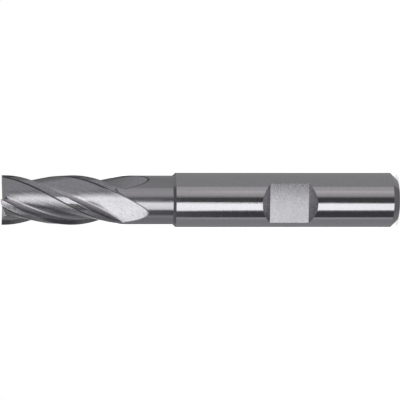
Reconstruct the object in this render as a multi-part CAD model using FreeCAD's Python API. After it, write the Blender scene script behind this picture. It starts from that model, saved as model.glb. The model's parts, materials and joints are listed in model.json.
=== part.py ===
import FreeCAD, Part
import math
import os

# A one-piece end mill with four right-hand helical flutes, which cuts turning clockwise as its shank
# end sees it. It stands on the rear face of its shank: that face's centre is the origin, the tool's
# axis is Z, and the cutting end is at the top. Lengths are in mm and angles in degrees.

# Lengths along the axis
overall_length = 72.0
shank_length = 41.0
cutting_length = 21.9
neck_taper_length = 0.6

# Diameters
shank_diameter = 10.0
neck_diameter = 8.95
cutter_diameter = 9.0
core_diameter = 5.5

# Edges of the blank
rear_chamfer = 1.25
shoulder_angle = 45.0

# The side-lock clamping flat, ground across the -Y side of the shank
flat_length = 7.0
flat_from_rear = 20.0
flat_height_across = 8.5
flat_end_slope = 45.0

# Flutes: a section that turns with the helix
flute_count = 4
helix_lead = 49.7
tip_turn = 12.3
rake_angle = 6.0
root_radius = 0.85
heel_slope = 21.0
root_flat_lean = 3.0

# Lands: the narrow relieved strip behind each cutting edge
land_width = 1.2
land_relief_angle = 14.0
margin_width = 0.07

# Run-out: how fast the wheel's flat turns with the work after it has stopped following the helix
wheel_drift = 0.7
wheel_blend = 3.0

# End teeth
dish_angle = 1.5
end_relief_angle = 7.0
end_land_width = 0.8
end_clearance_angle = 20.0
end_edge_offset = 0.08
edge_clearance = 0.02
gash_angle = 36.0
gash_opening = 58.0
long_tooth_reach = 0.2
short_tooth_reach = 1.1

# How far cutting shapes stand clear of the metal, and the spacing of the sections they pass through
clear = 1.2
section_step = 2.4

shank_radius = shank_diameter / 2
neck_radius = neck_diameter / 2
cutter_radius = cutter_diameter / 2
core_radius = core_diameter / 2
outside = shank_radius + clear
flat_depth = shank_diameter - flat_height_across
flat_spread = flat_depth / math.tan(math.radians(flat_end_slope))
flat_top = flat_from_rear + flat_length / 2 + flat_spread
pitch_angle = 360.0 / flute_count
turn_per_mm = 360.0 / helix_lead


def unit(angle):
    """A unit direction in the section plane, as (x, y)."""
    return math.cos(math.radians(angle)), math.sin(math.radians(angle))


def along(point, angle, distance):
    """The point that lies a distance from another in a direction."""
    x, y = unit(angle)
    return point[0] + distance * x, point[1] + distance * y


def polar(radius, angle):
    return along((0.0, 0.0), angle, radius)


def place(point, depth, tooth, height=None):
    """Put a point of a tooth's section into the part.

    The section's x axis runs out through the cutting edge and its y axis trails behind the edge. Depth
    is measured down from the cutting end, and the section turns with the helix as it goes down.
    """
    turn = math.radians(tip_turn + tooth * pitch_angle - turn_per_mm * depth)
    x = point[0] * math.cos(turn) + point[1] * math.sin(turn)
    y = point[0] * math.sin(turn) - point[1] * math.cos(turn)
    z = overall_length - depth if height is None else height
    return FreeCAD.Vector(x, y, z)


def line(a, b):
    return Part.LineSegment(a, b).toShape()


def arc(a, b, c):
    return Part.Arc(a, b, c).toShape()


def ground_blank():
    """The round rod, turned about the axis: shank, shoulder, neck and cutter.

    The shank's side is in two stretches, the clamped one that carries the flat and the one above it."""
    shoulder_length = (shank_radius - neck_radius) / math.tan(math.radians(shoulder_angle))
    neck_top = overall_length - cutting_length - neck_taper_length
    cutter_bottom = overall_length - cutting_length
    outline = [
        (0.0, 0.0),
        (shank_radius - rear_chamfer, 0.0),
        (shank_radius, rear_chamfer),
        (shank_radius, flat_top + clear),
        (shank_radius, shank_length - shoulder_length),
        (neck_radius, shank_length),
        (neck_radius, neck_top),
        (cutter_radius, cutter_bottom),
        (cutter_radius, overall_length),
        (0.0, overall_length),
    ]
    points = [FreeCAD.Vector(radius, 0, height) for radius, height in outline]
    face = Part.Face(Part.makePolygon(points + [points[0]]))
    return face.revolve(FreeCAD.Vector(0, 0, 0), FreeCAD.Vector(0, 0, 1), 360)


# The fixed points of a tooth's section. The land falls from the margin to the heel, and the back is an
# arc that starts at the heel and would meet the foot of the flute at the core's radius.
margin_angle = math.degrees(margin_width / cutter_radius)
land_start = polar(cutter_radius, margin_angle)
land_direction = margin_angle + 90 + land_relief_angle
heel = along(land_start, land_direction, land_width)
heel_radius = math.hypot(*heel)
heel_angle = math.degrees(math.atan2(heel[1], heel[0]))
heel_normal = heel_angle + heel_slope
foot_normal = pitch_angle - root_flat_lean
back_radius = (core_radius - heel_radius * unit(foot_normal - heel_angle)[0]) / (
    1 - unit(foot_normal - heel_normal)[0])
back_centre = along(heel, heel_normal, -back_radius)


def wheel_normal_at_runout():
    """Direction in which the wheel's flat faces where it leaves the cutting edge: the flat is tangent
    to the back and passes through the next cutting edge, at the end of the cutting length."""
    edge = polar(neck_radius, pitch_angle)
    dx = edge[0] - back_centre[0]
    dy = edge[1] - back_centre[1]
    facing = math.degrees(math.atan2(dy, dx))
    return facing - math.degrees(math.acos(back_radius / math.hypot(dx, dy)))


runout_normal = wheel_normal_at_runout()


def back_end_normal(depth):
    """Where the curved back gives way to the flat floor, as the direction that the flat faces.

    It is constant while the wheel follows the helix. Past the wheel's last place the flat hardly turns
    any more while the section goes on turning, so it sweeps over the back towards the heel."""
    stopped = runout_normal - (turn_per_mm - wheel_drift) * (depth - cutting_length)
    excess = (stopped - foot_normal) / wheel_blend
    if excess > 30:
        return foot_normal
    return stopped - wheel_blend * math.log1p(math.exp(excess))


def flute_section(depth, tooth, start_normal):
    """Closed outline of what one flute removes at one depth."""
    normal = back_end_normal(depth)
    back_start = along(back_centre, start_normal, back_radius)
    back_middle = along(back_centre, (start_normal + normal) / 2, back_radius)
    back_end = along(back_centre, normal, back_radius)

    # The rake face passes through the next cutting edge and leans back under it
    edge = polar(cutter_radius, pitch_angle)
    rake_direction = pitch_angle - rake_angle
    across = unit(rake_direction + 90)
    floor = unit(normal + 90)

    # The root's centre is one radius above the floor and one radius in front of the rake face
    lifted = along(back_end, normal, root_radius)
    gap = (edge[0] - lifted[0]) * across[0] + (edge[1] - lifted[1]) * across[1] - root_radius
    travel = gap / (floor[0] * across[0] + floor[1] * across[1])
    centre = (lifted[0] + travel * floor[0], lifted[1] + travel * floor[1])
    root_start = along(centre, normal, -root_radius)
    root_middle = along(centre, (normal + 180 + rake_direction + 90) / 2, root_radius)
    root_end = along(centre, rake_direction + 90, root_radius)

    rake_top = along(root_end, rake_direction, outside - math.hypot(*root_end) + clear)
    start_top = polar(outside + clear, math.degrees(math.atan2(back_start[1], back_start[0])))
    outer = polar(outside + 2 * clear, (heel_angle + pitch_angle) / 2)

    flat = [back_start, back_middle, back_end, root_start, root_middle, root_end, rake_top, outer, start_top]
    p = [place(point, depth, tooth) for point in flat]
    edges = [arc(p[0], p[1], p[2]), line(p[2], p[3]), arc(p[3], p[4], p[5]), line(p[5], p[6]),
             line(p[6], p[7]), line(p[7], p[8]), line(p[8], p[0])]
    return Part.Wire(edges)


def depths(first, last):
    count = max(2, math.ceil((last - first) / section_step))
    return [first + (last - first) * i / count for i in range(count + 1)]


def flute_cut(tooth):
    """What one flute removes, from beyond the cutting end to where the wheel has left the neck."""
    last = cutting_length
    while leaves_metal(last):
        last += section_step / 4
    last += section_step
    start_normal = min(heel_normal, back_end_normal(last)) - 8
    wires = [flute_section(depth, tooth, start_normal) for depth in depths(-2 * section_step, last)]
    return Part.makeLoft(wires, True, False)


def leaves_metal(depth):
    """True while the wheel's flat still lies inside the neck at this depth."""
    normal = back_end_normal(depth)
    distance = back_centre[0] * unit(normal)[0] + back_centre[1] * unit(normal)[1] + back_radius
    return distance < max(neck_radius, cutter_radius)


def land_cut(tooth):
    """What the relief behind one cutting edge removes. It lifts away at the end of the cutting length."""
    over = 0.02
    fade_start = cutting_length - 1.3
    fade_end = cutting_length + 0.7
    rise = 0.3

    def section(depth):
        fade = (depth - fade_start) / (fade_end - fade_start)
        lift = rise * max(0.0, fade)
        inner = along(land_start, land_direction, -over)
        past_heel = along(land_start, land_direction, 2 * land_width)
        corners = [inner, past_heel]
        angles = [math.degrees(math.atan2(y, x)) for x, y in corners]
        corners = [along(corners[0], angles[0], lift), along(corners[1], angles[1], lift)]
        corners += [polar(outside, angles[1]), polar(outside, angles[0])]
        points = [place(corner, depth, tooth) for corner in corners]
        return Part.Wire([line(a, b) for a, b in zip(points, points[1:] + points[:1])])

    stations = depths(-2 * section_step, fade_start) + [fade_start + 1.0, fade_end + 0.2]
    return Part.makeLoft([section(depth) for depth in stations], True, False)


def end_wall(distance):
    """How far an end tooth's front wall lies behind the line from the centre to the cutting corner.

    The wall passes just in front of the corner and reaches the centre a little behind it."""
    return end_edge_offset - (end_edge_offset + edge_clearance) * distance / cutter_radius


def end_relief_cut(tooth):
    """The sloping top of one end tooth: a land, then a steeper clearance, dished towards the centre.

    It ends against the front wall of the tooth behind."""
    drop = (cutter_radius + end_edge_offset) * math.tan(math.radians(dish_angle))
    base = overall_length - drop
    lead_in = 0.3
    reach = outside
    land_drop = end_land_width * math.tan(math.radians(end_relief_angle))
    far_drop = land_drop + (reach - end_land_width) * math.tan(math.radians(end_clearance_angle))
    profile = [
        (-lead_in, lead_in * math.tan(math.radians(end_relief_angle))),
        (end_land_width, -land_drop),
        (reach, -far_drop),
        (reach, 2 * clear),
        (-lead_in, 2 * clear),
    ]
    points = [place((-end_wall(y), y), 0.0, tooth, base + z) for y, z in profile]
    face = Part.Face(Part.makePolygon(points + [points[0]]))
    length = outside + end_edge_offset
    outward = place((length, 0), 0.0, tooth, length * math.tan(math.radians(dish_angle)))
    return face.extrude(outward)


def gash_cut(tooth):
    """The notch in front of one end tooth. Its root runs out and down from near the centre."""
    reach = long_tooth_reach if tooth % 2 == 0 else short_tooth_reach
    length = outside - reach
    depth = length * math.tan(math.radians(gash_angle))
    tall = depth + clear
    wide = tall * math.tan(math.radians(gash_opening))
    top = overall_length - reach * math.tan(math.radians(end_relief_angle))
    wall = end_wall(reach)
    corners = [(wall, 0.0), (wall, tall), (wall - wide, tall)]
    points = [place((reach, y), 0.0, tooth, top + z) for y, z in corners]
    face = Part.Face(Part.makePolygon(points + [points[0]]))
    return face.extrude(place((length, end_wall(reach + length) - wall), 0.0, tooth, -depth))


def side_lock_flat_cut():
    """The clamping flat: a level floor with a slope at each end."""
    floor = shank_radius - flat_depth
    spread = (outside - floor) / math.tan(math.radians(flat_end_slope))
    low = flat_from_rear - flat_length / 2
    high = flat_from_rear + flat_length / 2
    outline = [(-floor, low), (-floor, high), (-outside, high + spread), (-outside, low - spread)]
    points = [FreeCAD.Vector(-outside, y, z) for y, z in outline]
    face = Part.Face(Part.makePolygon(points + [points[0]]))
    return face.extrude(FreeCAD.Vector(2 * outside, 0, 0))


tool = ground_blank()
tool = tool.cut(side_lock_flat_cut())
for tooth in range(flute_count):
    tool = tool.cut(flute_cut(tooth))
for tooth in range(flute_count):
    tool = tool.cut(land_cut(tooth))
for tooth in range(flute_count):
    tool = tool.cut(end_relief_cut(tooth))
for tooth in range(flute_count):
    tool = tool.cut(gash_cut(tooth))

solid = tool.Solids[0]
print("solids", len(tool.Solids), "valid", solid.isValid(), "volume", round(solid.Volume, 1),
      "faces", len(solid.Faces))

os.makedirs("parts", exist_ok=True)
solid.exportStep("parts/end_mill.step")
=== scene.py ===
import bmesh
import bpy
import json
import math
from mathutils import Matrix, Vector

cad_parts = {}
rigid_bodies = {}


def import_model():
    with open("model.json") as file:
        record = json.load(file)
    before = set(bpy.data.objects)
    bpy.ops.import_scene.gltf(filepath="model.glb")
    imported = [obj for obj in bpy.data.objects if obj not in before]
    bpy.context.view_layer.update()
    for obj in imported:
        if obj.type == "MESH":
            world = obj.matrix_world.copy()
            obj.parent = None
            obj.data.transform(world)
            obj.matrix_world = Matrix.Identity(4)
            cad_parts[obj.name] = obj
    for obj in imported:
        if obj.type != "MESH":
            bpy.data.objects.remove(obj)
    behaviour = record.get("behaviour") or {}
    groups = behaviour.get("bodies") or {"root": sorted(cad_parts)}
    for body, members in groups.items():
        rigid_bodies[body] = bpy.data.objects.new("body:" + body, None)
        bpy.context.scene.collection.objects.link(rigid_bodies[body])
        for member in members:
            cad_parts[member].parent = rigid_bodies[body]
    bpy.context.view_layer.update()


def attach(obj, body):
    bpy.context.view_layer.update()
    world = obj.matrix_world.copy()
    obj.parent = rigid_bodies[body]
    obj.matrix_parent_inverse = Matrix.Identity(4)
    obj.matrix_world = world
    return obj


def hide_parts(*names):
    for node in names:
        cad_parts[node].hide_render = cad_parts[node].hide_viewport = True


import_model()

# %% [markdown]
# # A ground end mill
#
# This lesson dresses one real object: a one-piece end mill, a rod of tungsten carbide that is ground
# all over. Its look is almost only reflections, so most of the work is in the fine grinding marks and
# in the cards that the tool mirrors. The measured model arrives as a fixed frame, in metres, standing
# on the shank's end with the cutting end up.

mm = 0.001
scene = bpy.context.scene

# %% [markdown]
# ## Camera
#
# The photograph shows the tool lying across the picture, cutting end to the left. Here the tool
# stands, so the camera is turned a quarter turn and the axis runs across the picture. The camera is
# level with a point near the cutting end. Turning it until it looks at the tool's middle would make
# the shank taper too much in the picture, and shifting the lens alone would leave no taper at all. So
# it turns half of the way, and the lens is shifted for the rest.

# %% Place the camera
flat_direction = -90.0
camera_turn = 9.7
camera_distance = 311 * mm
camera_height = 57.4 * mm
turned_share = 0.5
picture_middle = 35.95 * mm


def around(angle, radius, height):
    """A point at an angle around the tool's axis."""
    turn = math.radians(angle)
    return Vector((radius * math.cos(turn), radius * math.sin(turn), height))


camera_angle = flat_direction + camera_turn
camera_place = around(camera_angle, camera_distance, camera_height)
aim = Vector((0, 0, camera_height + (picture_middle - camera_height) * turned_share))
forward = (aim - camera_place).normalized()
picture_up = around(camera_angle + 90, 1, 0)
picture_right = forward.cross(picture_up).normalized()
camera = bpy.data.objects.new("camera", bpy.data.cameras.new("camera"))
scene.collection.objects.link(camera)
scene.camera = camera
camera.matrix_world = Matrix((picture_right, picture_up, -forward)).transposed().to_4x4()
camera.location = camera_place
print("camera", round(camera_distance / mm), "mm from the axis")

# %% Lens
frame_width = 72.73 * mm
sensor_width = 36.0
nearest, farthest = 10 * mm, 10.0
camera.data.sensor_width = sensor_width
camera.data.lens = sensor_width * (aim - camera_place).length / frame_width
middle = Vector((0, 0, picture_middle)) - camera_place
camera.data.shift_x = middle.dot(picture_right) / middle.dot(forward) * camera.data.lens / sensor_width
camera.data.clip_start = nearest
camera.data.clip_end = farthest
print("lens", round(camera.data.lens, 1), "mm, shifted by", round(camera.data.shift_x, 3))

# %% [markdown]
# ## Colours and nodes
#
# Colours are written as the screen shows them, in hexadecimal, and turned to the linear values that
# the shader works in. One small function adds any node with its settings and its links, so a material
# reads as a short list of nodes.

# %% Colours


def colour(code):
    """Linear red, green, blue and alpha from a hexadecimal sRGB colour."""
    parts = [int(code[i:i + 2], 16) / 255 for i in (1, 3, 5)]
    linear = [p / 12.92 if p <= 0.04045 else ((p + 0.055) / 1.055) ** 2.4 for p in parts]
    return (*linear, 1.0)


print("middle grey is", round(colour("#808080")[0], 3), "in linear light")

# %% Nodes


def new_material(name):
    """A new material and its empty node tree."""
    material = bpy.data.materials.new(name)
    material.use_nodes = True
    material.node_tree.nodes.clear()
    return material, material.node_tree


def add(tree, kind, inputs=None, **settings):
    """Add a node. An input is a value or another node's output."""
    node = tree.nodes.new(kind)
    for name, value in settings.items():
        setattr(node, name, value)
    for name, value in (inputs or {}).items():
        if isinstance(value, bpy.types.NodeSocket):
            tree.links.new(value, node.inputs[name])
        else:
            node.inputs[name].default_value = value
    return node


# %% [markdown]
# ## Grinding marks
#
# Cemented carbide is a hard grey metal, finished by diamond wheels, and each surface keeps the marks
# of its own wheel. The shank is ground round, so its marks are rings. The flutes are ground along the
# helix. An image of scratches could be wrapped on, but it would stretch. Here the marks are noise that
# is squeezed across them and stretched along them, so they have a size in millimetres everywhere. For
# the flutes the pattern is first untwisted: every point is turned back by the helix, so that straight
# marks in the pattern become helical marks on the tool.
#
# A fine diamond wheel leaves marks about 0.01 mm wide. They are drawn 5 to 25 times as wide, because
# one pixel of the picture covers 0.18 mm.

# %% Marks
helix_lead = 49.7
helix_turn = 2 * math.pi / (helix_lead * mm)


def marks_pattern(tree, helical, across, along_marks):
    """Noise in marks that are so many mm wide and long, running round the axis or along the helix."""
    vector = add(tree, "ShaderNodeTexCoord").outputs["Object"]
    if helical:
        parts = add(tree, "ShaderNodeSeparateXYZ", {"Vector": vector})
        turn = add(tree, "ShaderNodeMath", {0: parts.outputs["Z"], 1: -helix_turn}, operation="MULTIPLY")
        vector = add(tree, "ShaderNodeVectorRotate", {"Vector": vector, "Angle": turn.outputs["Value"]},
                     rotation_type="Z_AXIS").outputs["Vector"]
    fine, coarse = 1 / (across * mm), 1 / (along_marks * mm)
    scale = (fine, fine, coarse) if helical else (coarse, coarse, fine)
    stretched = add(tree, "ShaderNodeMapping", {"Vector": vector, "Scale": scale})
    return add(tree, "ShaderNodeTexNoise", {"Vector": stretched.outputs["Vector"], "Scale": 1.0,
                                            "Detail": 3.0, "Roughness": 0.6}).outputs["Fac"]


print("the marks of the flutes turn once in", helix_lead, "mm")

# %% [markdown]
# ## Smear
#
# Marks also smear a reflection: it spreads across them and stays crisp along them. The shader calls
# this anisotropic and asks for a tangent, the direction that it spreads in. On the round body that is
# Blender's own tangent round the axis, turned by a quarter, so that it crosses the rings. In the
# flutes it is worked out from the helix.

# %% Smear across the helix


def across_helix(tree):
    """The direction on the surface that crosses the helix."""
    surface = add(tree, "ShaderNodeNewGeometry")
    spot = add(tree, "ShaderNodeTexCoord")
    parts = add(tree, "ShaderNodeSeparateXYZ", {"Vector": spot.outputs["Object"]})
    back = add(tree, "ShaderNodeMath", {0: parts.outputs["Y"], 1: -helix_turn}, operation="MULTIPLY")
    side = add(tree, "ShaderNodeMath", {0: parts.outputs["X"], 1: helix_turn}, operation="MULTIPLY")
    helix = add(tree, "ShaderNodeCombineXYZ", {"X": back.outputs["Value"], "Y": side.outputs["Value"],
                                               "Z": 1.0})
    return add(tree, "ShaderNodeVectorMath", {0: surface.outputs["Normal"], 1: helix.outputs["Vector"]},
               operation="CROSS_PRODUCT").outputs["Vector"]


# %% [markdown]
# ## Ground tungsten carbide
#
# The metal is the same all over: a nearly neutral grey, fully metallic, with the default index of
# refraction. One plain grey metal would be quick to make, but then every surface would shine alike,
# and on the real tool the finish is what tells them apart. Marks raise and lower the surface by a
# hundredth of a millimetre, which frays the edges of reflections. They also vary its roughness, so
# that some shine more than others. Darker patches about half a millimetre wide make the cloudy look
# of a coarse wheel. Where a flute runs out through the round of the tool, its last tenth of a
# millimetre is painted darker: a line of painted shade along that edge.

# %% Dark patches and the rim of painted shade
patches_per_mm = 2.2
darkest_at, brightest_at = 0.35, 0.65
# Between these radii the base colour darkens: painted shade along the edge where a flute runs out.
rim_start, rim_end = 4.38 * mm, 4.44 * mm
rim_level = 0.25


def brightness(tree, marks, cloud, painted_rim_shade):
    """How bright each point is, from 0 to 1. Cloud is how much darker the darkest patches are."""
    spot = add(tree, "ShaderNodeTexCoord").outputs["Object"]
    patches = add(tree, "ShaderNodeTexNoise", {"Vector": spot, "Scale": patches_per_mm / mm,
                                               "Detail": 4.0, "Roughness": 0.65})
    limits = {"From Min": darkest_at, "From Max": brightest_at, "To Min": 1 - cloud, "To Max": 1.0}
    mottle = add(tree, "ShaderNodeMapRange", {"Value": patches.outputs["Fac"], **limits})
    streaks = add(tree, "ShaderNodeMapRange", {"Value": marks, **limits})
    level = add(tree, "ShaderNodeMath", {0: mottle.outputs["Result"], 1: streaks.outputs["Result"]},
                operation="MULTIPLY").outputs["Value"]
    if not painted_rim_shade:
        return level
    # Darker towards the round of the tool: painted shade along the run-out edge.
    level_spot = add(tree, "ShaderNodeVectorMath", {0: spot, 1: (1, 1, 0)}, operation="MULTIPLY")
    radius = add(tree, "ShaderNodeVectorMath", {0: level_spot.outputs["Vector"]}, operation="LENGTH")
    rim = add(tree, "ShaderNodeMapRange", {"Value": radius.outputs["Value"], "From Min": rim_start,
                                           "From Max": rim_end, "To Min": 1.0, "To Max": rim_level})
    return add(tree, "ShaderNodeMath", {0: level, 1: rim.outputs["Result"]},
               operation="MULTIPLY").outputs["Value"]


print("dark patches are about", round(1 / patches_per_mm, 2), "mm wide")

# %% Carbide
mark_height = 0.01 * mm
low_mark, high_mark = 0.3, 0.7
smoothest, roughest = 0.8, 1.25
quarter_turn = 0.25


def ground_carbide(name, tone, roughness, smear, across, depth, cloud, along_marks=2.0, helical=False,
                   painted_rim_shade=False):
    """Carbide with grinding marks, so many mm across and along. Depth is the strength of their relief."""
    material, tree = new_material(name)
    marks = marks_pattern(tree, helical, across, along_marks)
    relief = add(tree, "ShaderNodeBump", {"Height": marks, "Strength": depth, "Distance": mark_height})
    spread = add(tree, "ShaderNodeMapRange", {
        "Value": marks, "From Min": low_mark, "From Max": high_mark,
        "To Min": roughness * smoothest, "To Max": roughness * roughest})
    shade = add(tree, "ShaderNodeVectorMath", {0: colour(tone)[:3],
                                               "Scale": brightness(tree, marks, cloud, painted_rim_shade)},
                operation="SCALE")
    surface = add(tree, "ShaderNodeBsdfPrincipled", {
        "Base Color": shade.outputs["Vector"], "Metallic": 1.0, "Roughness": spread.outputs["Result"],
        "Anisotropic": smear, "Normal": relief.outputs["Normal"]})
    if helical:
        tree.links.new(across_helix(tree), surface.inputs["Tangent"])
    else:
        ring = add(tree, "ShaderNodeTangent", direction_type="RADIAL", axis="Z")
        tree.links.new(ring.outputs["Tangent"], surface.inputs["Tangent"])
        surface.inputs["Anisotropic Rotation"].default_value = quarter_turn
    add(tree, "ShaderNodeOutputMaterial", {"Surface": surface.outputs["BSDF"]})
    return material


# %% Finishes of the body
carbide_tone = "#c2c0c6"
# The shank is ground round by a fine wheel. Its bands of light stay straight and nearly sharp.
shank_finish = ground_carbide("round ground tungsten carbide", carbide_tone, 0.13, smear=0.5,
                              across=0.12, depth=0.12, cloud=0.05)
# The neck is ground down afterwards. It is a little duller, and its bands have soft edges. Its
# darker tone stands partly for fine pits and partly for painted shade.
neck_finish_with_shade = ground_carbide("neck carbide with painted shade", "#b0afb5", 0.2, smear=0.4,
                             across=0.05, depth=0.04, cloud=0.04)
# The clamping flat is ground by a coarse wheel. It is pale and cloudy, and mirrors nothing clearly.
# Its slightly darker tone stands partly for fine pits and partly for painted shade.
flat_finish_with_shade = ground_carbide("flat carbide with painted shade", "#bab8be", 0.29, smear=0.3,
                             across=0.2, along_marks=0.6, depth=0.7, cloud=0.14)
# The end teeth and the gashes are small facets, each of one even tone.
end_finish = ground_carbide("end ground tungsten carbide", carbide_tone, 0.24, smear=0.2,
                            across=0.1, depth=0.3, cloud=0.1)
print("finishes of the body:", shank_finish.name, neck_finish_with_shade.name, flat_finish_with_shade.name, end_finish.name,
      sep="\n  ")

# %% Finishes of the flutes
# The backs of the teeth are ground deep in one pass. Long marks streak their wide highlights.
# Near the round of the tool they get the rim of painted shade.
flute_finish = ground_carbide("flute ground tungsten carbide", carbide_tone, 0.24, smear=0.4, across=0.25,
                              along_marks=6.0, depth=0.5, cloud=0.12, helical=True, painted_rim_shade=True)
# The roots are cut by the worn corner of the wheel. Their highlight is broad and soft, and their
# lighter tone is a painted highlight that keeps it bright.
root_finish_with_highlight = ground_carbide("root carbide with painted highlight", "#cbc9cf", 0.34, smear=0.2, across=0.25,
                             along_marks=6.0, depth=0.4, cloud=0.1, helical=True)
# The rake faces are cut by the side of the wheel, which leaves them blotched. Their darker tone
# stands partly for fine pits and partly for painted shade.
rake_finish_with_shade = ground_carbide("rake carbide with painted shade", "#aeadb3", 0.32, smear=0.3, across=0.25,
                             along_marks=4.0, depth=0.6, cloud=0.3, helical=True)
# The lands are ground last and finest. Short marks break their sharp glint. Their darker tone
# stands partly for fine pits and partly for painted shade.
land_finish_with_shade = ground_carbide("land carbide with painted shade", "#a4a3a8", 0.14, smear=0.2, across=0.15,
                             along_marks=0.3, depth=0.7, cloud=0.3, helical=True)
# Along the heels the carbide is rougher, and its dark tone is painted shade: a thin dark line
# along each heel.
heel_shade_finish = ground_carbide("heel carbide with painted shade", "#717076", 0.42, smear=0.2, across=0.05,
                             along_marks=0.5, depth=0.4, cloud=0.3, helical=True)
tool_materials = [shank_finish, neck_finish_with_shade, flute_finish, rake_finish_with_shade, land_finish_with_shade, heel_shade_finish,
                  end_finish, root_finish_with_highlight, flat_finish_with_shade]
SHANK, NECK, FLUTE, RAKE, LAND, HEEL_SHADE, END, ROOT, FLAT = range(len(tool_materials))
print(len(tool_materials), "finishes, one material slot for each way of grinding")

# %% [markdown]
# ## Grinding the tool again, finer
#
# The measured model is light: its flutes are coarse facets, which would break the reflections.
# Subdividing it would keep them. The lesson grinds a finer tool from the same numbers, so the shape is
# the same but smooth. It starts from a turned blank, and each grinding wheel is a solid that is taken
# away with a Boolean, in the order in which a grinder would work.

# %% The tool's sizes
overall_length = 72.0
shank_length = 41.0
cutting_length = 21.9
shank_radius = 5.0
neck_radius = 4.475
cutter_radius = 4.5
wheel_margin = 1.2
outside = shank_radius + wheel_margin
print("the tool is", overall_length, "mm long, and the wheels reach out to", outside, "mm")

# %% Solids


def solid(name, points, faces, slots):
    """A mesh object in the tool's slots. Its faces are turned outwards."""
    mesh = bpy.data.meshes.new(name)
    mesh.from_pydata(points, [], faces)
    for face, slot in zip(mesh.polygons, slots):
        face.material_index = slot
    for material in tool_materials:
        mesh.materials.append(material)
    shape = bmesh.new()
    shape.from_mesh(mesh)
    bmesh.ops.recalc_face_normals(shape, faces=shape.faces)
    shape.to_mesh(mesh)
    shape.free()
    piece = bpy.data.objects.new(name, mesh)
    scene.collection.objects.link(piece)
    return piece


# %% Lofts


def loft(name, sections, slot_of_side):
    """Join closed sections of the same number of points into a solid."""
    count = len(sections[0])
    points = [p for section in sections for p in section]
    faces, slots = [], []
    for i in range(len(sections) - 1):
        for j in range(count):
            k = (j + 1) % count
            faces.append((i * count + j, i * count + k, (i + 1) * count + k, (i + 1) * count + j))
            slots.append(slot_of_side(i, j))
    last = (len(sections) - 1) * count
    faces += [tuple(range(count)), tuple(range(last, last + count))]
    slots += [END, END]
    return solid(name, points, faces, slots)


# %% [markdown]
# ## The blank
#
# A real blank is a round rod. This one is an outline of radii and heights carried round the axis:
# chamfered rear end, shank, shoulder, neck, and a cutter that is slightly thicker. Stacked cylinders
# would be another way, but one outline leaves no seams for the Booleans to trip over.

# %% Blank
rear_chamfer = 1.25
neck_taper_length = 0.6
cap_radius, ring_radius = 0.02, 2.0
neck_start = shank_length - (shank_radius - neck_radius)
cutter_bottom = overall_length - cutting_length
outline = [(cap_radius, 0.0), (ring_radius, 0.0), (shank_radius - rear_chamfer, 0.0),
           (shank_radius, rear_chamfer), (shank_radius, neck_start), (neck_radius, shank_length),
           (neck_radius, cutter_bottom - neck_taper_length), (cutter_radius, cutter_bottom),
           (cutter_radius, overall_length), (ring_radius, overall_length), (cap_radius, overall_length)]


def turned(name, profile, sides=360):
    """A solid of revolution. The two ends of the profile are closed with flat caps."""
    turns = [2 * math.pi * i / sides for i in range(sides)]
    sections = [[Vector((radius * math.cos(turn), radius * math.sin(turn), height)) * mm for turn in turns]
                for radius, height in profile]
    return loft(name, sections, lambda i, j: NECK if profile[i][1] >= neck_start else SHANK)


tool = turned("end_mill_ground", outline)
print("blank:", len(tool.data.polygons), "faces")

# %% [markdown]
# ## The clamping flat
#
# The holder's side screw presses on a flat that is ground across the shank. Its ends slope at 45
# degrees, as the edges of the wheel do, so a trough with sloping ends is all that is taken away. This
# is the first cut, so here comes the helper that makes one. The Boolean keeps the wheel's material
# slots, so every ground surface takes the finish of the wheel that made it.

# %% Grinding


def grind(blank, wheel):
    """Take a wheel's path away from the blank, then put the wheel away."""
    cut = blank.modifiers.new("grind", "BOOLEAN")
    cut.operation = "DIFFERENCE"
    cut.solver = "MANIFOLD"
    cut.object = wheel
    cut.material_mode = "INDEX"
    bpy.context.view_layer.update()
    ready = blank.evaluated_get(bpy.context.evaluated_depsgraph_get())
    shaped = bpy.data.meshes.new_from_object(ready)
    blank.modifiers.clear()
    blank.data = shaped
    bpy.data.objects.remove(wheel)


# %% Clamping flat
flat_length = 7.0
flat_from_rear = 20.0
flat_depth = 1.5


def flat_wheel():
    """The path of the wheel that crosses the shank: a trough with sloping ends."""
    floor = shank_radius - flat_depth
    spread = outside - floor
    bottom, top = flat_from_rear - flat_length / 2, flat_from_rear + flat_length / 2
    corners = [(-floor, bottom), (-floor, top), (-outside, top + spread), (-outside, bottom - spread)]
    near = [Vector((-outside, y, z)) * mm for y, z in corners]
    far = [p + Vector((2 * outside, 0, 0)) * mm for p in near]
    return loft("flat_wheel", [near, far], lambda i, j: FLAT)


grind(tool, flat_wheel())
print("with the flat:", len(tool.data.polygons), "faces")

# %% [markdown]
# ## The section of a tooth
#
# Seen along the axis, a tooth is a cutting edge on the round of the tool, a narrow margin, the land
# that falls away behind it, and the back that drops to the flute. The next helpers work in that flat
# section, in millimetres and degrees. A drawn curve would be quicker to make, but each wheel has to
# begin exactly where the last one ended, and numbers give that.

# %% Points and directions


def unit(angle):
    """The step of one unit in a direction, in degrees."""
    return math.cos(math.radians(angle)), math.sin(math.radians(angle))


def along(point, angle, distance):
    """The point that lies at a distance from another, in a direction."""
    x, y = unit(angle)
    return point[0] + distance * x, point[1] + distance * y


def polar(radius, angle):
    """The point at a radius and an angle from the axis."""
    return along((0.0, 0.0), angle, radius)


def direction(point):
    """The angle of a point as seen from the axis."""
    return math.degrees(math.atan2(point[1], point[0]))


def stations(first, last, step):
    """Even steps from first to last, none longer than the step given."""
    count = max(2, math.ceil((last - first) / step))
    return [first + (last - first) * i / count for i in range(count + 1)]


# %% From the section into the tool
flute_count = 4
tip_turn = 12.3
pitch_angle = 360.0 / flute_count
turn_per_mm = 360.0 / helix_lead
section_step = 0.3


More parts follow.
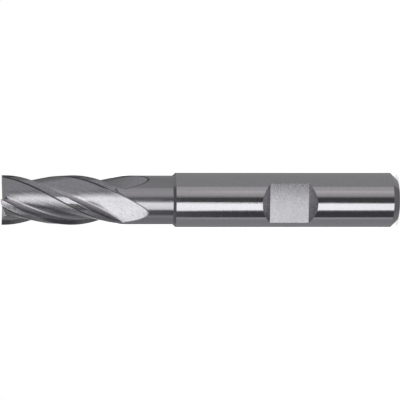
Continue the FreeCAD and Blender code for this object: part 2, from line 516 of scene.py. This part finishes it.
def place(point, depth, tooth, height=None):
    """Put a point of a tooth's section into the tool, turned with the helix, in metres."""
    turn = math.radians(tip_turn + tooth * pitch_angle - turn_per_mm * depth)
    x = point[0] * math.cos(turn) + point[1] * math.sin(turn)
    y = point[0] * math.sin(turn) - point[1] * math.cos(turn)
    z = overall_length - depth if height is None else height
    return Vector((x, y, z)) * mm


print(flute_count, "teeth, turned by", round(turn_per_mm, 2), "degrees for each mm of depth")

# %% The land
margin_width = 0.07
land_width = 1.2
land_relief_angle = 14.0
margin_angle = math.degrees(margin_width / cutter_radius)
land_start = polar(cutter_radius, margin_angle)
heel = along(land_start, margin_angle + 90 + land_relief_angle, land_width)
heel_radius = math.hypot(*heel)
land_sweep = math.radians(direction(heel) - margin_angle)
land_fall = math.log(cutter_radius / heel_radius) / land_sweep


def on_land(share):
    """A point of the land, which falls away evenly from the round of the tool towards the heel."""
    sweep = land_sweep * share
    return polar(cutter_radius * math.exp(-land_fall * sweep), margin_angle + math.degrees(sweep))


print("the land drops by", round(cutter_radius - heel_radius, 2), "mm")

# %% [markdown]
# ## The flutes
#
# A flute is what a helical wheel removes: behind each heel the back of the tooth falls in an arc, then
# comes a straight floor, a round root, and the hollow rake face that leads up to the next edge. The
# same section is turned a little at every step down the tool. A plain helical sweep would end in a
# wall. A real wheel lets go past the cutting length: its flat stops turning, sweeps over the back and
# leaves a long bright oval, the run-out, so here the section changes on its way.

# %% The back of a tooth
core_radius = 2.75
heel_slope = 21.0
root_flat_lean = 3.0
heel_normal = direction(heel) + heel_slope
foot_normal = pitch_angle - root_flat_lean
back_radius = (core_radius - heel_radius * unit(foot_normal - direction(heel))[0]) / (
    1 - unit(foot_normal - heel_normal)[0])
back_centre = along(heel, heel_normal, -back_radius)
print("the back of each tooth has a radius of", round(back_radius, 2), "mm")

# %% Run-out
wheel_drift = 0.7
wheel_blend = 3.0
far_inside = 30


def wheel_normal_at_runout():
    """The way the wheel's flat faces as it leaves the next cutting edge, tangent to the back."""
    edge = polar(neck_radius, pitch_angle)
    reach = (edge[0] - back_centre[0], edge[1] - back_centre[1])
    return direction(reach) - math.degrees(math.acos(back_radius / math.hypot(*reach)))


runout_normal = wheel_normal_at_runout()


def back_end_normal(depth):
    """Where the back's arc gives way to the floor, as the direction that the floor faces."""
    stopped = runout_normal - (turn_per_mm - wheel_drift) * (depth - cutting_length)
    excess = (stopped - foot_normal) / wheel_blend
    if excess > far_inside:
        return foot_normal
    return stopped - wheel_blend * math.log1p(math.exp(excess))


print("at the run-out the floor faces", round(runout_normal, 1), "degrees")

# %% Arcs and lines


def arc_points(centre, radius, start, end, count):
    """The points of an arc between two directions, in degrees."""
    return [along(centre, start + (end - start) * i / count, radius) for i in range(count + 1)]


def between(a, b, count):
    """The points that divide a straight line, without its ends."""
    return [(a[0] + (b[0] - a[0]) * i / count, a[1] + (b[1] - a[1]) * i / count) for i in range(1, count)]


# %% Section of a flute
root_radius = 0.85
rake_angle = 6.0
# The width of the heel's painted shade on the side of the back.
back_shade_strip = 0.26
heel_steps, back_steps, floor_steps, root_steps, rake_steps = 4, 22, 4, 18, 8
strip_angle = math.degrees(back_shade_strip / back_radius)


def flute_section(depth, tooth, start_normal):
    """The flute at one depth: back, floor, root and rake face, closed outside the tool."""
    normal = back_end_normal(depth)
    # The strip of painted shade at the heel takes at most half of the back, which is short at the run-out.
    split = min(heel_normal + strip_angle, start_normal + 0.5 * (normal - start_normal))
    back = arc_points(back_centre, back_radius, start_normal, split, heel_steps)
    back += arc_points(back_centre, back_radius, split, normal, back_steps)[1:]
    edge = polar(cutter_radius, pitch_angle)
    rake_direction = pitch_angle - rake_angle
    across = unit(rake_direction + 90)
    floor = unit(normal + 90)
    lifted = along(back[-1], normal, root_radius)
    gap = (edge[0] - lifted[0]) * across[0] + (edge[1] - lifted[1]) * across[1] - root_radius
    travel = gap / (floor[0] * across[0] + floor[1] * across[1])
    centre = (lifted[0] + travel * floor[0], lifted[1] + travel * floor[1])
    root = arc_points(centre, -root_radius, normal, rake_direction - 90, root_steps)
    rake_top = along(root[-1], rake_direction, outside - math.hypot(*root[-1]) + wheel_margin)
    outer = polar(outside + 2 * wheel_margin, (direction(heel) + pitch_angle) / 2)
    start_top = polar(outside + wheel_margin, direction(back[0]))
    section = back + between(back[-1], root[0], floor_steps) + root
    section += between(root[-1], rake_top, rake_steps) + [rake_top, outer, start_top]
    return [place(point, depth, tooth) for point in section]


print("a flute's root has a radius of", root_radius, "mm")

# %% Grind the flutes
runout_length = 6.2
lead_in_angle = 8
root_start = heel_steps + back_steps + floor_steps
rake_start = root_start + root_steps


def flute_slot(side):
    """The finish of each side of the flute's section: heel strip of painted shade, back and floor, root,
    then rake face.
    """
    if side < heel_steps:
        return HEEL_SHADE
    if side < root_start:
        return FLUTE
    return ROOT if side < rake_start else RAKE


def flute_wheel(tooth):
    """The path of the wheel that grinds the flute behind one tooth."""
    last = cutting_length + runout_length
    start_normal = min(heel_normal, back_end_normal(last)) - lead_in_angle
    sections = [flute_section(depth, tooth, start_normal)
                for depth in stations(-wheel_margin, last, section_step)]
    return loft("flute_wheel", sections, lambda i, j: flute_slot(j))


for tooth in range(flute_count):
    grind(tool, flute_wheel(tooth))
print("with the flutes:", len(tool.data.polygons), "faces")

# %% [markdown]
# ## The lands
#
# The land behind each cutting edge is ground last along the helix, and it lifts away where the cutting
# length ends. A flat land would be simpler, but it would flash all at once or not at all. This one
# falls away evenly between the same two edges, so it always has a glint somewhere along it.

# %% Grind the lands
# The width of the heel's painted shade on the side of the land.
heel_shade_strip = 0.1
land_steps = 5
overcut = 0.02
past_heel = [1, 1.5, 2]
fade_before, fade_after = 1.3, 0.7
fade_rise, past_fade = 0.3, 0.2
fade_start, fade_end = cutting_length - fade_before, cutting_length + fade_after
strip_share = 1 - heel_shade_strip / land_width
land_shares = [-overcut] + [strip_share * (i / land_steps) for i in range(1, land_steps + 1)] + past_heel
relief_corners = [on_land(share) for share in land_shares]


def relief_wheel(tooth):
    """The wheel that grinds the land behind one edge."""
    sections = []
    for depth in stations(-wheel_margin, fade_end + past_fade, section_step):
        lift = fade_rise * max(0.0, (depth - fade_start) / (fade_end - fade_start))
        corners = [along(corner, direction(corner), lift) for corner in relief_corners]
        corners += [polar(outside, direction(relief_corners[-1])),
                    polar(outside, direction(relief_corners[0]))]
        sections.append([place(corner, depth, tooth) for corner in corners])
    return loft("relief_wheel", sections, lambda i, j: LAND if j < land_steps else HEEL_SHADE)


for tooth in range(flute_count):
    grind(tool, relief_wheel(tooth))
print("with the lands:", len(tool.data.polygons), "faces")

# %% [markdown]
# ## The end teeth
#
# On the end each tooth has a narrow land and a steeper clearance, dished towards the centre, and a
# gash in front of it that makes room for chips. Two teeth run nearly to the centre and two stop short.
# Each wheel here is a straight prism, as the real facets are flat.

# %% End lands
dish_angle = 1.5
end_relief_angle = 7.0
end_land_width = 0.8
end_clearance_angle = 20.0
end_edge_offset = 0.08
edge_clearance = 0.02
lead_in = 0.3


def slope(angle):
    """The rise for one unit along a face that leans by an angle."""
    return math.tan(math.radians(angle))


def end_wall(distance):
    """How far a wheel's wall stands off the line from the axis to the tooth, at a distance along it."""
    return end_edge_offset - (end_edge_offset + edge_clearance) * distance / cutter_radius


def end_relief_wheel(tooth):
    """The wheel that grinds the end land and the clearance behind it."""
    base = overall_length - (cutter_radius + end_edge_offset) * slope(dish_angle)
    land_drop = end_land_width * slope(end_relief_angle)
    far_drop = land_drop + (outside - end_land_width) * slope(end_clearance_angle)
    profile = [(-lead_in, lead_in * slope(end_relief_angle)), (end_land_width, -land_drop),
               (outside, -far_drop), (outside, 2 * wheel_margin), (-lead_in, 2 * wheel_margin)]
    length = outside + end_edge_offset
    near = [place((-end_wall(y), y), 0.0, tooth, base + z) for y, z in profile]
    outward = place((length, 0), 0.0, tooth, length * slope(dish_angle))
    return loft("end_relief_wheel", [near, [p + outward for p in near]], lambda i, j: END)


for tooth in range(flute_count):
    grind(tool, end_relief_wheel(tooth))
print("with the end lands:", len(tool.data.polygons), "faces")

# %% Gashes
gash_angle = 36.0
gash_opening = 58.0
long_tooth_reach = 0.2
short_tooth_reach = 1.1


def gash_wheel(tooth):
    """The wheel that opens the gash in front of an end tooth."""
    reach = long_tooth_reach if tooth % 2 == 0 else short_tooth_reach
    length = outside - reach
    depth = length * slope(gash_angle)
    tall = depth + wheel_margin
    wide = tall * slope(gash_opening)
    top = overall_length - reach * slope(end_relief_angle)
    wall = end_wall(reach)
    corners = [(wall, 0.0), (wall, tall), (wall - wide, tall)]
    near = [place((reach, y), 0.0, tooth, top + z) for y, z in corners]
    outward = place((length, end_wall(reach + length) - wall), 0.0, tooth, -depth)
    return loft("gash_wheel", [near, [p + outward for p in near]], lambda i, j: END)


for tooth in range(flute_count):
    grind(tool, gash_wheel(tooth))
print("with the gashes:", len(tool.data.polygons), "faces")

# %% [markdown]
# ## Smooth surfaces with crisp edges
#
# Reflections show every facet, so the surfaces need smooth normals, while the edges between two
# grindings must stay sharp. Edges that bend by more than a few degrees are marked sharp. The round
# surfaces get the exact normals of a cylinder, because the long faces left by the Booleans would give
# uneven ones. The flat's normals lean a little, outwards on both sides, as on a flat that the wheel
# left slightly crowned: that shades it from dark to light, as in the photograph.

# %% Weld and sharpen
weld_distance = 0.0005 * mm
crease = math.radians(9)
shape = bmesh.new()
shape.from_mesh(tool.data)
bmesh.ops.remove_doubles(shape, verts=shape.verts, dist=weld_distance)
for face in shape.faces:
    face.smooth = True
for edge in shape.edges:
    edge.smooth = len(edge.link_faces) == 2 and edge.calc_face_angle(0) < crease
shape.to_mesh(tool.data)
shape.free()
print("sharp edges:", sum(edge.use_edge_sharp for edge in tool.data.edges))

# %% Normals
flat_crown = math.radians(4.5)
flat_half_width = math.sqrt(shank_radius ** 2 - (shank_radius - flat_depth) ** 2) * mm
end_face_limit = 0.9
flat_limit = -0.99
mesh = tool.data
normals = [corner.vector.copy() for corner in mesh.corner_normals]
for face in mesh.polygons:
    rise = face.normal.z
    is_round = face.material_index in (SHANK, NECK) and abs(rise) < end_face_limit
    is_flat = face.material_index == FLAT and face.normal.y < flat_limit
    for loop in face.loop_indices:
        point = mesh.vertices[mesh.loops[loop].vertex_index].co
        if is_round:
            radial = Vector((point.x, point.y, 0)).normalized()
            normals[loop] = (radial * math.sqrt(1 - rise * rise) + Vector((0, 0, rise))).normalized()
        elif is_flat:
            normals[loop] = Vector((point.x / flat_half_width * math.sin(flat_crown), -1, 0)).normalized()
mesh.normals_split_custom_set(normals)
print("the flat is shaded", round(2 * flat_half_width / mm, 2), "mm wide")

# %% Put it in the measured model's place
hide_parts("end_mill")
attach(tool, "root")
print("ground end mill:", sum(len(face.vertices) - 2 for face in mesh.polygons), "triangles")

# %% [markdown]
# ## Cards
#
# A bright metal has no look of its own: it shows what stands round it. A photographer surrounds such
# a tool with white and black cards, and here they are curved sheets on a wide ring round the axis.
# Each glows evenly, brightly where it is a light and dimly where it is a wall, and only reflections
# see it. Lamps would be another way, but they can't make dark bands with clean edges. A card's place
# is given by two angles round the axis, from the camera and downwards in the picture.
#
# The shank is a mirror rolled up round the axis, so it shows the ring level with it as straight bands.
# The flutes lean with the helix and look further up or down, so the ring changes with height.

# %% A sheet that glows


def glowing_sheet(name, points, faces, level, tint="#ffffff"):
    """A sheet that glows evenly and is seen only in reflections."""
    sheet_mesh = bpy.data.meshes.new(name)
    sheet_mesh.from_pydata(points, [], faces)
    sheet = bpy.data.objects.new(name, sheet_mesh)
    scene.collection.objects.link(sheet)
    material, tree = new_material("evenly lit card")
    glow = add(tree, "ShaderNodeEmission", {"Color": colour(tint), "Strength": level})
    add(tree, "ShaderNodeOutputMaterial", {"Surface": glow.outputs["Emission"]})
    sheet_mesh.materials.append(material)
    sheet.visible_camera = False
    sheet.visible_diffuse = False
    sheet.visible_shadow = False


# %% A card
card_distance = 400 * mm
card_step = 4


def card(name, start, end, low, high, level, tint="#ffffff", lean=0.0):
    """A curved card between two angles and two heights. Its lower end may lean by some degrees."""
    steps = max(2, int(abs(end - start) / card_step))
    points = []
    for i in range(steps + 1):
        angle = camera_angle - (start + (end - start) * i / steps)
        foot = angle - lean * (1 - i / steps)
        points += [around(foot, card_distance, low), around(angle, card_distance, high)]
    faces = [(2 * i, 2 * i + 1, 2 * i + 3, 2 * i + 2) for i in range(steps)]
    glowing_sheet(name, points, faces, level, tint)


def ring_of_cards(low, high, cards):
    """Cards between two heights in mm: name, two angles, level, and perhaps a tint and a lean."""
    for name, start, end, level, *look in cards:
        card(name, start, end, low * mm, high * mm, level, *look)
    print(len(cards), "cards from", low, "to", high, "mm")


# %% Level with the shank
warm = "#fffcfa"
plain = "#fefffc"
ring_of_cards(-100, 10, [
    ("upper_wall", -180, -56, 0.37, plain), ("warm_wall", -56, -39, 0.58, warm),
    ("warm_wall_bright", -39, -30, 0.74, warm), ("warm_wall_low", -30, -24, 0.62, warm),
    ("warm_wall_end", -24, -16, 0.54, warm), ("upper_gap", -16, -12, 0.34), ("gap_edge", -12, -9, 0.2),
    ("camera_gap", -9, 15, 0.07), ("strip_light", 10, 43.5, 1.7, plain, 4.5),
    ("strip_edge", 43.5, 50, 0.15), ("lower_gap", 50, 78, 0.07), ("lower_card", 78, 87, 0.48),
    ("lower_card_edge", 87, 93, 0.36), ("lower_wall", 93, 161, 0.34), ("back_light", 161, 176, 1.5),
    ("back_wall", 176, 180, 0.34)])

# %% Level with the neck
ring_of_cards(10, 75, [
    ("neck_upper_wall", -180, -56, 0.36, plain), ("neck_warm_wall", -56, -17, 0.57, warm),
    ("neck_upper_gap", -17, -10, 0.3), ("neck_camera_gap", -10, 10, 0.07),
    ("neck_light", 10, 47, 1.6, plain), ("neck_lower_gap", 47, 76, 0.12),
    ("neck_lower_card", 76, 90, 0.4), ("neck_lower_wall", 90, 161, 0.33),
    ("neck_back_light", 161, 176, 1.5), ("neck_back_wall", 176, 180, 0.34)])

# %% For the lands and the roots
ring_of_cards(75, 134, [
    ("land_far_wall", -180, -124, 0.14), ("land_back_wall", -124, -95, 0.42),
    ("land_upper_wall", -95, -1, 0.75), ("land_light", -1, 30, 3.0), ("land_gap", 30, 62, 0.2),
    ("land_lower_light", 62, 82, 0.6), ("land_lower_gap", 82, 88, 0.5), ("land_lower_wall", 88, 180, 0.42)])
ring_of_cards(134, 142, [
    ("root_back_wall", -180, -95, 0.38), ("root_upper_wall", -95, -1, 0.7), ("root_light", -1, 30, 2.9),
    ("root_gap", 30, 62, 1.4), ("root_lower_light", 62, 84, 2.0), ("root_lower_wall", 84, 180, 0.4)])

# %% For the run-outs and the backs of the teeth
ring_of_cards(142, 168, [
    ("runout_back_wall", -180, -100, 0.22), ("runout_upper_wall", -100, -6, 0.4),
    ("runout_camera_gap", -6, 12, 0.23), ("runout_light_start", 12, 32, 0.7, plain),
    ("runout_light", 32, 84, 2.8, plain), ("runout_lower_wall", 84, 180, 0.18)])
ring_of_cards(168, 190, [
    ("tip_back_wall", -180, -100, 0.21), ("tip_upper_wall", -100, -6, 0.39),
    ("tip_camera_gap", -6, 12, 0.23), ("tip_light_start", 12, 20, 0.45, plain),
    ("tip_light_rise", 20, 32, 0.95, plain), ("tip_light", 32, 72, 1.85, plain),
    ("tip_light_end", 72, 82, 0.4, plain), ("tip_lower_wall", 82, 180, 0.22)])
ring_of_cards(190, 700, [
    ("sky_back_wall", -180, -100, 0.33), ("sky_upper_wall", -100, -6, 0.39),
    ("sky_camera_gap", -6, 12, 0.23), ("sky_light_start", 12, 20, 0.45, plain),
    ("sky_light_rise", 20, 32, 0.95, plain), ("sky_light", 32, 50, 1.48, plain),
    ("sky_light_soft", 50, 58, 1.3, plain), ("sky_light_fall", 58, 65, 0.95, plain),
    ("sky_light_low", 65, 72, 0.5, plain), ("sky_light_end", 72, 82, 0.22, plain),
    ("sky_lower_wall", 82, 150, 0.19), ("sky_low_wall", 150, 180, 0.33)])

# %% Below the shank, for the rake faces
ring_of_cards(-180, -100, [
    ("under_upper_wall", -180, -20, 0.38), ("under_gap", -20, 110, 0.12),
    ("under_lower_wall", 110, 180, 0.25)])
ring_of_cards(-600, -180, [
    ("skirt_back_wall", -180, -90, 0.34), ("skirt_gap", -90, 15, 0.11), ("skirt_light", 15, 60, 0.36),
    ("skirt_lower_gap", 60, 105, 0.16), ("skirt_lower_wall", 105, 180, 0.24)])

# %% Close the ring above and below
disc_corners = 36
for name, height, level in (("ceiling", 700 * mm, 0.16), ("pit", -600 * mm, 0.2)):
    corners = [around(i * 360 / disc_corners, card_distance, height) for i in range(disc_corners)]
    glowing_sheet(name, corners, [tuple(range(disc_corners))], level)
    print(name, "at", round(height / mm), "mm")

# %% [markdown]
# ## World and floor
#
# The room is plain white light from all sides, at a strength of one, so a colour renders about as it
# is written. The tool stands on matte white paper. Paper alone would come out grey beside the
# photograph's white ground. More light would wash out the tool, so the paper has a glow of its own
# that only the camera sees, and the light it receives still draws the tool's shadow. The cards stand
# for all that the tool mirrors, so the paper is left out of its reflections.

# %% World
world = bpy.data.worlds.new("white room")
scene.world = world
world.use_nodes = True
background = world.node_tree.nodes["Background"]
background.inputs["Color"].default_value = colour("#ffffff")
background.inputs["Strength"].default_value = 1.0
print("world strength", background.inputs["Strength"].default_value)

# %% Floor
floor_reach = 3.0
paper_glow = 0.5
floor_mesh = bpy.data.meshes.new("floor")
floor_mesh.from_pydata([(-floor_reach, -floor_reach, 0), (floor_reach, -floor_reach, 0),
                        (floor_reach, floor_reach, 0), (-floor_reach, floor_reach, 0)], [], [(0, 1, 2, 3)])
floor = bpy.data.objects.new("floor", floor_mesh)
scene.collection.objects.link(floor)
paper, tree = new_material("matte white paper")
matte = add(tree, "ShaderNodeBsdfDiffuse", {"Color": colour("#f0f0f0")})
path = add(tree, "ShaderNodeLightPath")
lift = add(tree, "ShaderNodeMath", {0: path.outputs["Is Camera Ray"], 1: paper_glow}, operation="MULTIPLY")
glow = add(tree, "ShaderNodeEmission", {"Color": colour("#ffffff"), "Strength": lift.outputs["Value"]})
both = add(tree, "ShaderNodeAddShader", {0: matte.outputs["BSDF"], 1: glow.outputs["Emission"]})
add(tree, "ShaderNodeOutputMaterial", {"Surface": both.outputs["Shader"]})
floor_mesh.materials.append(paper)
floor.visible_glossy = False
print("floor", 2 * floor_reach, "m wide")

# %% [markdown]
# ## Finish
#
# The colours are shown as they are, with no film look.

# %% Finish
scene.view_settings.view_transform = "Standard"
